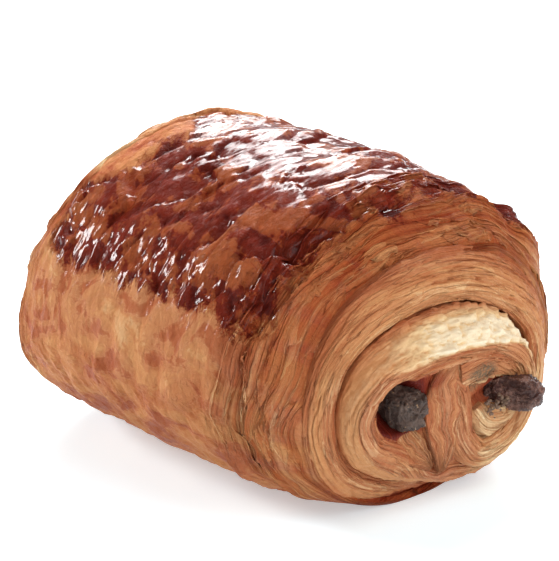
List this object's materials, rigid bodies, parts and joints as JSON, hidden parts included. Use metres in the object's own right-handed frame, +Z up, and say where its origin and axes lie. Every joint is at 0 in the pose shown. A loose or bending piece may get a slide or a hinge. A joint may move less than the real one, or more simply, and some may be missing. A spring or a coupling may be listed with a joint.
{
  "type": "baked pain au chocolat",
  "caption": "Baked rolled laminated pastry, glossy brown crust, with dark chocolate sticks showing at both spiral ends.",
  "frame": {"origin": "on the flat base, under the middle of the pastry with its chocolate sticks", "axes": "+X along the roll, towards the end whose right stick stands out; +Y across the roll; +Z up from the base"},
  "size_m": [0.095, 0.0806, 0.0571],
  "materials": {
    "baked_crust": "egg-glazed baked laminated dough: glossy mahogany top, golden flaky sides and pale layered ends",
    "dark_chocolate": "dull, slightly bloomed baked dark chocolate"
  },
  "bodies": {
    "root": {"pastry": "baked_crust", "chocolate_stick_left": "dark_chocolate", "chocolate_stick_right": "dark_chocolate"}
  },
  "joints": []
}
